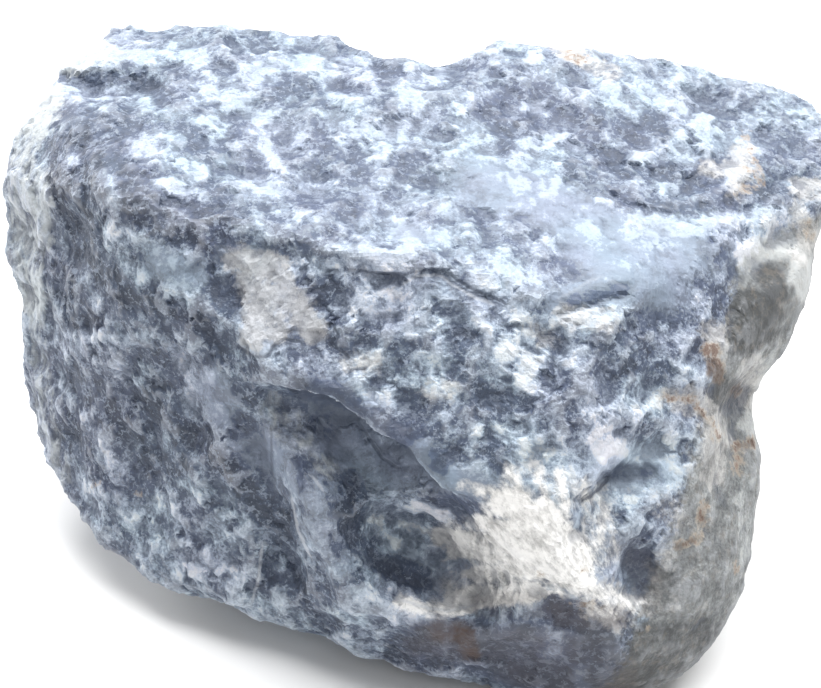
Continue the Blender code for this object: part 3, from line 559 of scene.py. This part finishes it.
def edge_ends(mesh):
    ends = np.empty(2 * len(mesh.edges), dtype=np.int64)
    mesh.edges.foreach_get("vertices", ends)
    return ends.reshape(-1, 2)


def neighbours_sum(places, first, second):
    """For each corner, its neighbours' places added up, with the edges' ends as two lists."""
    return np.stack([np.bincount(first, places[second, axis], len(places)) +
                     np.bincount(second, places[first, axis], len(places)) for axis in range(3)], axis=1)


def evened(mesh, places, rounds):
    """Each place moved halfway to the mean of its neighbours, a number of times."""
    ends = edge_ends(mesh)
    count = np.bincount(ends.ravel(), minlength=len(places)).astype(float)[:, None]
    for _ in range(rounds):
        places = 0.5 * places + 0.5 * neighbours_sum(places, *ends.T) / count
    return places


def evened_where(mesh, places, share, rounds):
    """The same only where the share is above nought, and as strongly as the share says."""
    ends = edge_ends(mesh)
    ends = ends[(share[ends] > 0.0).any(axis=1)]
    used, short = np.unique(ends, return_inverse=True)
    first, second = short.reshape(-1, 2).T
    count = np.bincount(short.ravel()).astype(float)[:, None]
    here = places[used]
    pull = 0.5 * share[used][:, None]
    for _ in range(rounds):
        here = here + pull * (neighbours_sum(here, first, second) / count - here)
    places = places.copy()
    places[used] = here
    return places


def way_points(way):
    return np.reshape(np.array(way, dtype=float), (-1, 2))


def way_gap(pixels, way):
    """Distance in pixels from each corner to a way."""
    points = way_points(way)
    gap = np.linalg.norm(pixels - points[0], axis=1)
    for start, end in zip(points[:-1], points[1:]):
        step = end - start
        part = np.clip((pixels - start) @ step / (step @ step), 0.0, 1.0)
        gap = np.minimum(gap, np.linalg.norm(pixels - start - part[:, None] * step, axis=1))
    return gap


def paint(pixels, marks):
    """The marks' strengths at each corner, added up."""
    total = np.zeros(len(pixels))
    for strength, width, ways in marks.values():
        share = np.zeros(len(pixels))
        for way in ways:
            share = np.maximum(share, smooth_step(0.0, 1.0, 1.5 - way_gap(pixels, way) / width))
        total += strength * share
    return total


def side_of_way(pixels, way):
    """How far each corner is from a way, above nought on its right, and how far past its ends, in pixels."""
    points = way_points(way)
    best = np.full(len(pixels), np.inf)
    beside = np.full(len(pixels), np.inf)
    past_end = np.zeros(len(pixels))
    last = len(points) - 2
    for number, (start, end) in enumerate(zip(points[:-1], points[1:])):
        step = unit(end - start)
        along = (pixels - start) @ step
        across = (pixels - start) @ np.array((-step[1], step[0]))
        past = np.maximum(np.maximum(-along, along - np.linalg.norm(end - start)), 0.0)
        gap = np.hypot(across, past)
        closer = gap < best
        best[closer] = gap[closer]
        beside[closer] = np.where(across < 0.0, -gap, gap)[closer]
        outside = np.where(((along < 0.0) & (number == 0)) | ((along > 0.0) & (number == last)), past, 0.0)
        past_end[closer] = outside[closer]
    return beside, past_end


def line_fields(pixels, lines):
    """For the nearest line: how far each corner is beside it in pixels, and how strong the line is there."""
    beside = np.full(len(pixels), LINE_REACH)
    strength = np.zeros(len(pixels))
    for value, ways in lines.values():
        for way in ways:
            side, past = side_of_way(pixels, way)
            gap = np.abs(side)
            closer = gap < np.abs(beside)
            beside[closer] = side[closer]
            fade = (1.0 - smooth_step(6.0, 10.0, gap)) * (1.0 - smooth_step(0.0, 6.0, past))
            strength[closer] = (value * fade)[closer]
    return beside, strength


def noise_field(places, length, shift, octaves=3, rough=0.8):
    """Fractal noise at each corner, about -1 to 1, for a wave length in metres."""
    move = Vector((shift, -0.7 * shift, 1.3 * shift))
    return np.array([noise.fractal(Vector(p) / length + move, rough, 2.1, octaves) for p in places])


def plates(places, size):
    """Leaning plates with crisp edges: for each corner, how high and how pale its plate is, about -1 to 1."""
    heights = np.empty(len(places))
    values = np.empty(len(places))
    for index, place in enumerate(places):
        spot = Vector(place) / size
        spot += 0.25 * noise.noise_vector(spot * 2.3)
        middle = noise.voronoi(spot)[1][0]
        lean = noise.noise_vector(middle * 7.31)
        values[index] = noise.cell(middle * 37.7)
        heights[index] = 0.9 * values[index] + 1.2 * lean.dot(spot - middle)
    return heights, values


class STONE_OT_shape(bpy.types.Operator):
    """Makes the stone's fine skin from the plain solid"""

    bl_idname = "stone.shape"
    bl_label = "Shape the stone"
    bl_options = {"REGISTER", "UNDO"}

    def execute(self, context):
        shape = context.scene.stone_shape
        view = View(context.scene.stone_stage)
        stone = self.even_skin(context, shape)
        mesh = stone.data
        places, outward = read_skin(mesh)
        seen = seen_share(mesh, places, outward, view)
        write_field(mesh, "worn", self.worn(places, seen))
        write_field(mesh, "seen", seen)
        top = smooth_step(0.6, 0.9, outward[:, 2]) * smooth_step(40.0 * MM, 50.0 * MM, places[:, 2])
        write_field(mesh, "top", top)
        calm = np.maximum(seen * paint(view.pixels(places), CALM_MARKS), 0.3 * top)
        calm += (1.0 - seen) * 0.65 * smooth_step(-0.1, 0.5, noise_field(places, 15.0 * MM, 41.0))
        write_field(mesh, "calm", np.clip(calm, 0.0, 1.0))
        self.mark(mesh, view)
        places, outward = read_skin(mesh)
        write_field(mesh, "seen", seen_share(mesh, places, outward, view))
        self.roughen(mesh, shape)
        self.chip(mesh, shape)
        print(f"the stone has {len(mesh.polygons)} faces")
        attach(stone, "root")
        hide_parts(NODE)
        return {"FINISHED"}

    def even_skin(self, context, shape):
        """A merged copy of the plain solid, with evenly spaced corners."""
        stone = bpy.data.objects.new("stone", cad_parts[NODE].data.copy())
        context.scene.collection.objects.link(stone)
        bpy.ops.object.select_all(action="DESELECT")
        stone.select_set(True)
        context.view_layer.objects.active = stone
        bpy.ops.object.mode_set(mode="EDIT")
        bpy.ops.mesh.select_all(action="SELECT")
        bpy.ops.mesh.remove_doubles(threshold=0.00001)
        bpy.ops.object.mode_set(mode="OBJECT")
        apply_modifier(stone, "REMESH", mode="VOXEL", voxel_size=shape.voxel, adaptivity=0.0)
        if len(stone.data.polygons) < 1000:
            raise RuntimeError("the stone's skin came out empty")
        put_in_order(stone.data)
        apply_modifier(stone, "SMOOTH", factor=0.5, iterations=shape.soften)
        return stone

    def worn(self, places, seen):
        """How worn the skin is, 0 to 1: the right side below the top."""
        wobble = 5.0 * noise_field(places, 11.0 * MM, 91.0, 4) * (1.0 - seen)
        x, z = places[:, 0] / MM + wobble, places[:, 2] / MM + wobble
        side = smooth_step(0.0, 7.0, x - 17.5 - 0.36 * z)
        return side * (1.0 - smooth_step(47.5, 51.5, z))

    def mark(self, mesh, view):
        """Creases, ribs and ledges that the camera sees."""
        places, outward = read_skin(mesh)
        pixels = view.pixels(places)
        lift = paint(pixels, RELIEF_MARKS)
        for drop, width, way in LEDGES.values():
            beside, past = side_of_way(pixels, way)
            low = smooth_step(-1.5, 1.5, beside) * (1.0 - smooth_step(0.3 * width, width, beside))
            lift -= drop * low * (1.0 - smooth_step(0.0, 8.0, past))
        lift *= MM * read_field(mesh, "seen") * smooth_step(*FOOT, places[:, 2])
        places = places + lift[:, None] * outward
        front = smooth_step(-8.0 * MM, -12.0 * MM, places[:, 1])
        soft = front * np.clip(paint(pixels, SOFT_MARKS), 0.0, 1.0) ** 4
        write_skin(mesh, evened_where(mesh, places, soft, SOFT_ROUNDS))

    def roughen(self, mesh, shape):
        """Waves, leaning plates and the dents of the worn side."""
        noise.seed_set(shape.seed)  # Without it noise_vector starts from the clock
        places, outward = read_skin(mesh)
        worn = read_field(mesh, "worn")
        ease = (1.0 - 0.6 * worn) * (1.0 - 0.75 * read_field(mesh, "calm"))
        wave = noise_field(places, shape.wave_length, 3.0, rough=0.7)
        high, pale = plates(places, shape.plate_size)
        low_high, low_pale = plates(places + 0.05, 0.5 * shape.plate_size)
        flake = 0.7 * pale + 0.7 * low_pale
        write_field(mesh, "flake", flake - flake.mean())
        lift = (shape.waves * wave + shape.plates * (high + 0.5 * low_high)) * ease
        lift += shape.dents * worn * noise_field(places, shape.dent_length, 5.0)
        lift *= smooth_step(*FOOT, places[:, 2])
        write_skin(mesh, places + lift[:, None] * outward)

    def chip(self, mesh, shape):
        """Small flat breaks: each shaves what stands above a leaning plane."""
        places, outward = read_skin(mesh)
        spared = np.maximum(read_field(mesh, "worn"), read_field(mesh, "calm"))
        dice = random.Random(shape.seed)
        for _ in range(shape.chips):
            index = dice.randrange(len(places))
            size = dice.uniform(*CHIP_WIDTHS) * MM
            depth = dice.uniform(*CHIP_DEPTHS) * shape.chip_depth
            lean = np.array([dice.uniform(-1.0, 1.0) for _ in range(3)]) * CHIP_LEAN
            if spared[index] > 0.4 or places[index, 2] < FOOT[1]:
                continue
            way_out = unit(outward[index] + lean)
            off = places - places[index]
            near = np.nonzero(np.einsum("ij,ij->i", off, off) < size * size)[0]
            far = np.linalg.norm(off[near], axis=1)
            over = off[near] @ way_out + depth * (1.0 - (far / size) ** 2)
            over = np.where(outward[near] @ way_out > 0.3, over, 0.0) * (1.0 - smooth_step(0.65, 1.0, far / size))
            places[near] -= np.clip(over, 0.0, 1.6 * depth)[:, None] * way_out
        write_skin(mesh, places)


class STONE_OT_paint(bpy.types.Operator):
    """Paints where the stone is pale, dark, stained, bruised or worn"""

    bl_idname = "stone.paint"
    bl_label = "Paint the stone"
    bl_options = {"REGISTER", "UNDO"}

    def execute(self, context):
        mesh = bpy.data.objects["stone"].data
        places, outward = read_skin(mesh)
        exact = View(context.scene.stone_stage).pixels(places)
        seen = read_field(mesh, "seen")
        jag = np.stack((noise_field(places, 1.3 * MM, 21.0), noise_field(places, 1.3 * MM, 33.0)), axis=1)
        pixels = exact + 4.5 * jag
        tone = np.clip(paint(pixels, TONE_MARKS), -1.6, 1.6)
        patches = noise_field(places, 8.0 * MM, 11.0)
        write_field(mesh, "tone", 0.9 * patches * (1.0 - 0.87 * seen) + seen * tone)
        for name, (marks, length, low) in PAINTS.items():
            hidden = 0.9 * smooth_step(low, low + 0.35, noise_field(places, length * MM, 5.0 * length))
            write_field(mesh, name, seen * np.clip(paint(pixels, marks), 0.0, 1.4) + (1.0 - seen) * hidden)
        for name, lines in LINES.items():
            beside, strength = line_fields(exact + 1.5 * jag, lines)
            write_field(mesh, name, beside)
            write_field(mesh, name + "_strength", seen * strength)
        self.fibres(mesh, exact)
        self.hollows(mesh, places, outward)
        return {"FINISHED"}

    def fibres(self, mesh, pixels):
        """A way round and a way out from the bruise's middle, for its streaks."""
        off = np.array(FIBRE_MIDDLE) - pixels
        round_it = np.arctan2(off[:, 1], off[:, 0]) * FIBRES
        outward = np.hypot(off[:, 0], off[:, 1]) / FIBRE_LENGTH
        values = np.stack((round_it, outward, np.zeros(len(pixels))), axis=1)
        field = mesh.attributes.new("fibre", "FLOAT_VECTOR", "POINT")
        field.data.foreach_set("vector", values.astype(np.float32).ravel())

    def hollows(self, mesh, places, outward):
        """Above nought in hollows, below nought on edges."""
        near = evened(mesh, places, 12)
        wide = evened(mesh, near, 60)
        fine = np.einsum("ij,ij->i", near - places, outward) / MM
        broad = np.einsum("ij,ij->i", wide - places, outward) / MM
        write_field(mesh, "hollow", np.clip(4.0 * fine + 1.0 * broad, -1.0, 1.0))


class Shader:
    """A short way to add nodes to the stone's material, and the noises that its layers share.

    Lengths are in millimetres.
    """

    def __init__(self, material, look):
        self.tree = material.node_tree
        self.shader = self.tree.nodes["Principled BSDF"]
        self.look = look
        metres = self.add("ShaderNodeTexCoord").outputs["Object"]
        self.where = self.vector("MULTIPLY", metres, (1000.0, 1000.0, 1000.0))
        jag = self.noise(self.where, 1.1, 3.0, 0.65, "Color")
        self.jags = self.add("ShaderNodeSeparateColor", {0: jag}).outputs
        self.broad = self.noise(self.where, 3.2, 6.0, 0.74)
        self.fine = self.noise(self.where, 0.42, 3.0, 0.6)
        jag = self.vector("MULTIPLY", self.vector("SUBTRACT", jag, (0.5, 0.5, 0.5)), (3.0, 3.0, 3.0))
        flakes = self.cells(self.vector("ADD", self.where, jag), 0.85)
        self.small, self.far = flakes["Color"], flakes["Distance"]
        self.ease = self.math("MULTIPLY_ADD", self.field("calm"), -0.78, 1.0)

    def add(self, kind, inputs=(), **settings):
        made = self.tree.nodes.new(kind)
        for name, value in settings.items():
            setattr(made, name, value)
        for name, value in dict(inputs).items():
            socket = made.inputs[name]
            if isinstance(value, bpy.types.NodeSocket):
                self.tree.links.new(value, socket)
            else:
                socket.default_value = value
        return made

    def math(self, operation, first, second=0.0, third=0.0, clamp=False):
        return self.add("ShaderNodeMath", {0: first, 1: second, 2: third}, operation=operation,
                        use_clamp=clamp).outputs[0]

    def times(self, first, second, clamp=False):
        return self.math("MULTIPLY", first, second, clamp=clamp)

    def sum(self, start, *terms):
        """Start, and then each share times a value's distance from its middle."""
        total = start
        for share, value, middle in terms:
            part = self.math("MULTIPLY_ADD", value, share, -share * middle)
            total = self.math("ADD", part, total)
        return total

    def noise(self, where, size, detail, rough, output="Fac"):
        return self.add("ShaderNodeTexNoise", {
            "Vector": where, "Scale": 1.0 / size, "Detail": detail, "Roughness": rough}).outputs[output]

    def cells(self, where, size):
        return self.add("ShaderNodeTexVoronoi", {"Vector": where, "Scale": 1.0 / size}).outputs

    def vector(self, operation, first, second):
        return self.add("ShaderNodeVectorMath", {0: first, 1: second}, operation=operation).outputs[0]

    def field(self, name, output="Fac"):
        return self.add("ShaderNodeAttribute", attribute_name=name).outputs[output]

    def step(self, value, low, high):
        return self.add("ShaderNodeMapRange", {"Value": value, "From Min": low, "From Max": high},
                        interpolation_type="SMOOTHSTEP").outputs[0]

    def colour(self, name, share=1.0):
        """One of the stone's colours, made darker or paler."""
        return tuple(min(1.0, part * share) for part in getattr(self.look, name)[:3]) + (1.0,)

    def ramp(self, value, stops):
        made = self.add("ShaderNodeValToRGB", {0: value})
        elements = made.color_ramp.elements
        while len(elements) < len(stops):
            elements.new(0.5)
        for element, (place, colour) in zip(elements, stops):
            element.position = place
            element.color = (*colour[:3], 1.0)
        return made.outputs[0]

    def shades(self, value, *stops):
        """A ramp through shades of the stone's colours, given as place, name and share."""
        return self.ramp(value, [(place, self.colour(name, share)) for place, name, share in stops])

    def mix(self, share, first, second, blend="MIX"):
        made = self.add("ShaderNodeMix", {0: share, 6: first, 7: second}, data_type="RGBA", blend_type=blend)
        return made.outputs[2]


class STONE_OT_material(bpy.types.Operator):
    """Gives the stone its mottled material"""

    bl_idname = "stone.material"
    bl_label = "Colour the stone"
    bl_options = {"REGISTER", "UNDO"}

    def execute(self, context):
        material = bpy.data.materials.new("anhydrite_mottled")
        material.use_nodes = True
        s = Shader(material, context.scene.stone_look)
        colour = self.mottled(s)
        for layer in (self.worn_side, self.beige, self.chalk, self.bruise, self.lines, self.hollows, self.iron):
            colour = layer(s, colour)
        s.tree.links.new(colour, s.shader.inputs["Base Color"])
        s.tree.links.new(s.math("MULTIPLY_ADD", s.fine, 0.5, 0.36), s.shader.inputs["Roughness"])
        self.bumps(s)
        stone = bpy.data.objects["stone"]
        stone.data.materials.clear()
        stone.data.materials.append(material)
        return {"FINISHED"}

    def mottled(self, s):
        """Slate, blue-grey and white flakes with ragged edges."""
        base = s.sum(0.49, (0.26, s.field("tone"), 0.0), (0.01, s.field("top"), 0.0))
        busy = s.sum(0.0, (0.5, s.broad, 0.5), (0.24, s.field("flake"), 0.0), (0.28, s.small, 0.5),
                     (0.6, s.fine, 0.5))
        level = s.math("MULTIPLY_ADD", busy, s.ease, base)
        colour = s.shades(
            level, (0.03, "slate", 0.5), (0.14, "slate", 0.72), (0.30, "slate", 0.95), (0.36, "slate", 1.12),
            (0.385, "middle", 0.78), (0.47, "middle", 0.92), (0.495, "middle", 1.12), (0.575, "middle", 1.3),
            (0.60, "pale", 0.86), (0.70, "pale", 1.0), (0.725, "pale", 1.3), (0.82, "white", 0.85),
            (0.97, "white", 1.05))
        varied = s.mix(1.0, s.colour("pale"), s.sum(0.9, (1.0, s.fine, 0.5), (0.4, s.small, 0.5)), "MULTIPLY")
        colour = s.mix(s.times(s.field("top"), s.step(level, 0.64, 0.74)), colour, varied)
        tint = s.ramp(s.noise(s.where, 9.0, 2.0, 0.5), [(0.38, (0.95, 1.0, 0.985)), (0.62, (1.0, 0.975, 1.0))])
        colour = s.mix(1.0, colour, tint, "MULTIPLY")
        rims = s.times(s.step(s.sum(s.far, (0.9, s.fine, 0.5)), 0.62, 0.74), s.ease)
        return s.mix(s.times(rims, 0.42), colour, s.colour("pale", 1.1))

    def worn_side(self, s, colour):
        """Grey, blotched, with little colour of its own."""
        level = s.sum(0.0, (1.5, s.broad, 0.5), (0.16, s.small, 0.5), (0.6, s.fine, 0.5))
        level = s.math("MULTIPLY_ADD", level, s.ease, s.sum(0.465, (0.32, s.field("tone"), 0.0)))
        grey = s.shades(level, (0.10, "worn", 0.35), (0.34, "worn", 0.66), (0.40, "worn", 0.86),
                        (0.54, "worn", 1.08), (0.60, "worn", 1.4), (0.9, "worn", 2.2))
        earth = s.times(s.step(s.sum(s.jags[1], (0.6, s.broad, 0.5)), 0.5, 0.68), 0.22)
        grey = s.mix(earth, grey, s.colour("tan", 0.62))
        edge = s.sum(s.field("worn"), (1.2, s.jags[2], 0.5))
        return s.mix(s.times(s.step(edge, 0.2, 0.75), 0.9), colour, grey)

    def beige(self, s, colour):
        """Warm patches."""
        beige = s.field("beige")
        share = s.step(s.sum(beige, (2.0, s.jags[0], 0.5), (1.2, s.broad, 0.5), (0.2, s.small, 0.5)), 0.1, 0.9)
        share = s.times(share, s.step(beige, 0.02, 0.3))
        warm = s.shades(s.sum(s.broad, (0.14, s.small, 0.5)), (0.36, "beige", 0.7), (0.48, "beige", 1.0),
                        (0.60, "beige", 1.35))
        return s.mix(s.times(share, 0.6), colour, warm)

    def chalk(self, s, colour):
        """The pale crust in upright streaks, and the same pale as a painted highlight along the left edge."""
        streak = s.noise(s.vector("MULTIPLY", s.where, (1.0, 1.0, 0.22)), 1.1, 3.0, 0.6)
        chalk = s.field("chalk")
        share = s.times(s.step(s.sum(chalk, (2.8, streak, 0.5)), 0.1, 1.2), s.step(chalk, 0.02, 0.4))
        return s.mix(s.times(share, 0.65), colour, s.colour("chalk"))

    def bruise(self, s, colour):
        """Crushed white with streaks that run out from its middle."""
        fibre = s.vector("ADD", s.field("fibre", "Vector"), s.vector("MULTIPLY", s.where, (0.4, 0.4, 0.4)))
        streak = s.noise(fibre, 1.0, 5.0, 0.7)
        crushed = s.field("bruise")
        share = s.step(s.sum(crushed, (1.5, streak, 0.5), (1.5, s.broad, 0.5), (0.15, s.small, 0.5)), 0.0, 1.05)
        share = s.times(share, s.step(crushed, 0.02, 0.3))
        white = s.shades(s.sum(streak, (0.6, s.broad, 0.5), (0.10, s.small, 0.5)), (0.34, "bruise", 0.52),
                         (0.48, "bruise", 0.8), (0.59, "bruise", 1.0))
        return s.mix(share, colour, white)

    def line_share(self, s, name, narrow, wide):
        """A line's strength, from full within the narrow to none beyond the wide distance in pixels."""
        gap = s.math("ABSOLUTE", s.field(name))
        return s.times(s.step(gap, wide, narrow), s.field(name + "_strength"), clamp=True)

    def lines(self, s, colour):
        """Pale edges, and over them dark lines: cracks, and painted shadow under steps, lips and in creases."""
        colour = s.mix(s.times(self.line_share(s, "white_line", 0.5, 2.4), 0.6), colour, s.colour("white"))
        return s.mix(s.times(self.line_share(s, "dark_line", 0.4, 2.2), 0.7), colour, s.colour("slate", 0.5))

    def hollows(self, s, colour):
        """Painted shade darkens the hollows, and edges are rubbed pale."""
        hollow = s.field("hollow")
        colour = s.mix(s.times(s.step(hollow, 0.05, 1.0), 0.5), colour, s.colour("slate", 0.7))
        rubbed = s.times(s.step(hollow, -0.2, -1.0), s.math("MULTIPLY_ADD", s.ease, 0.25, -0.06))
        return s.mix(rubbed, colour, s.colour("white"))

    def iron(self, s, colour):
        """Tan stain with darker iron in its middle, and rust; in the soft dent the same dark brown is painted shade,
        and on the underside below the rim it is partly painted shade.
        """
        stain = s.field("stain")
        spread = s.sum(stain, (2.6, s.jags[1], 0.5), (2.0, s.broad, 0.5), (0.3, s.small, 0.5), (1.2, s.fine, 0.5))
        spread = s.times(spread, s.step(stain, 0.02, 0.3))
        colour = s.mix(s.times(s.step(spread, 0.05, 1.2), 0.55), colour, s.colour("tan"))
        colour = s.mix(s.times(s.step(spread, 0.7, 1.35), 0.85), colour, s.colour("iron"))
        uneven = s.sum(0.75, (1.5, s.broad, 0.5), (0.8, s.fine, 0.5))
        rust = s.times(s.step(s.field("rust"), 0.0, 1.2), uneven, clamp=True)
        return s.mix(rust, colour, s.colour("iron", 0.45))

    def bumps(self, s):
        """Sugary grain, and the dark lines pressed in, the cracks and the painted shadow lines alike."""
        height = s.sum(0.0, (0.18, s.fine, 0.0), (0.12, s.cells(s.where, 0.55)["Color"], 0.0))
        height = s.math("SUBTRACT", s.times(height, s.ease), s.times(self.line_share(s, "dark_line", 0.8, 2.6), 0.12))
        bump = s.add("ShaderNodeBump", {"Strength": 1.0, "Distance": MM, "Height": height})
        s.tree.links.new(bump.outputs[0], s.shader.inputs["Normal"])


class STONE_OT_stage(bpy.types.Operator):
    """Sets the floor, the light and the camera"""

    bl_idname = "stone.stage"
    bl_label = "Set the stage"
    bl_options = {"REGISTER", "UNDO"}

    def execute(self, context):
        stage = context.scene.stone_stage
        self.floor()
        self.light(context, stage)
        self.camera(context, stage)
        context.scene.view_settings.view_transform = "Standard"
        return {"FINISHED"}

    def floor(self):
        bpy.ops.object.select_all(action="DESELECT")
        bpy.ops.mesh.primitive_plane_add(size=FLOOR_SIZE, location=(0.0, 0.0, 0.0))
        floor = bpy.context.object
        floor.name = "floor"
        material = bpy.data.materials.new("floor")
        material.use_nodes = True
        shader = material.node_tree.nodes["Principled BSDF"]
        shader.inputs["Base Color"].default_value = (0.8, 0.8, 0.8, 1.0)
        shader.inputs["Roughness"].default_value = 0.9
        floor.data.materials.append(material)

    def light(self, context, stage):
        world = bpy.data.worlds.new("studio")
        world.use_nodes = True
        background = world.node_tree.nodes["Background"].inputs
        background["Color"].default_value = (1.0, 1.0, 1.0, 1.0)
        background["Strength"].default_value = stage.sky
        context.scene.world = world
        self.lamp("soft_lamp", *SOFT_LAMP, stage.lamp)
        self.lamp("rim_lamp", *RIM_LAMP, stage.rim)

    def lamp(self, name, place, size, power):
        bpy.ops.object.light_add(type="AREA", location=place)
        lamp = bpy.context.object
        lamp.name = name
        lamp.data.shape = "RECTANGLE"
        lamp.data.size, lamp.data.size_y = size
        lamp.data.energy = power
        aim = Vector(LAMP_AIM) - lamp.location
        lamp.rotation_mode = "QUATERNION"
        lamp.rotation_quaternion = aim.to_track_quat("-Z", "Y")

    def camera(self, context, stage):
        view = View(stage)
        data = bpy.data.cameras.new("camera")
        data.sensor_width = SENSOR
        data.lens = SENSOR / 2.0 / math.tan(stage.field / 2.0)
        data.clip_start = 0.01
        camera = bpy.data.objects.new("camera", data)
        context.scene.collection.objects.link(camera)
        camera.location = Vector(view.eye)
        camera.rotation_mode = "QUATERNION"
        camera.rotation_quaternion = Vector(-view.back).to_track_quat("-Z", "Y")
        context.scene.camera = camera


class STONE_PT_panel(bpy.types.Panel):
    """The stone's settings and steps"""

    bl_label = "Rough anhydrite"
    bl_space_type = "VIEW_3D"
    bl_region_type = "UI"
    bl_category = "Stone"

    def draw(self, context):
        for group in (context.scene.stone_shape, context.scene.stone_look, context.scene.stone_stage):
            box = self.layout.box()
            for name in group.bl_rna.properties.keys():
                if name not in {"rna_type", "name"}:
                    box.prop(group, name)
        for operator in STEPS:
            self.layout.operator(operator.bl_idname)


STEPS = (STONE_OT_shape, STONE_OT_paint, STONE_OT_material, STONE_OT_stage)
CLASSES = (StoneShape, StoneLook, StoneStage, *STEPS, STONE_PT_panel)


def register():
    for each in CLASSES:
        bpy.utils.register_class(each)
    bpy.types.Scene.stone_shape = bpy.props.PointerProperty(type=StoneShape)
    bpy.types.Scene.stone_look = bpy.props.PointerProperty(type=StoneLook)
    bpy.types.Scene.stone_stage = bpy.props.PointerProperty(type=StoneStage)


def unregister():
    del bpy.types.Scene.stone_shape
    del bpy.types.Scene.stone_look
    del bpy.types.Scene.stone_stage
    for each in reversed(CLASSES):
        bpy.utils.unregister_class(each)


def main():
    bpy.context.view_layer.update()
    register()
    bpy.ops.stone.shape()
    bpy.ops.stone.paint()
    bpy.ops.stone.material()
    bpy.ops.stone.stage()


if __name__ == "__main__":
    main()
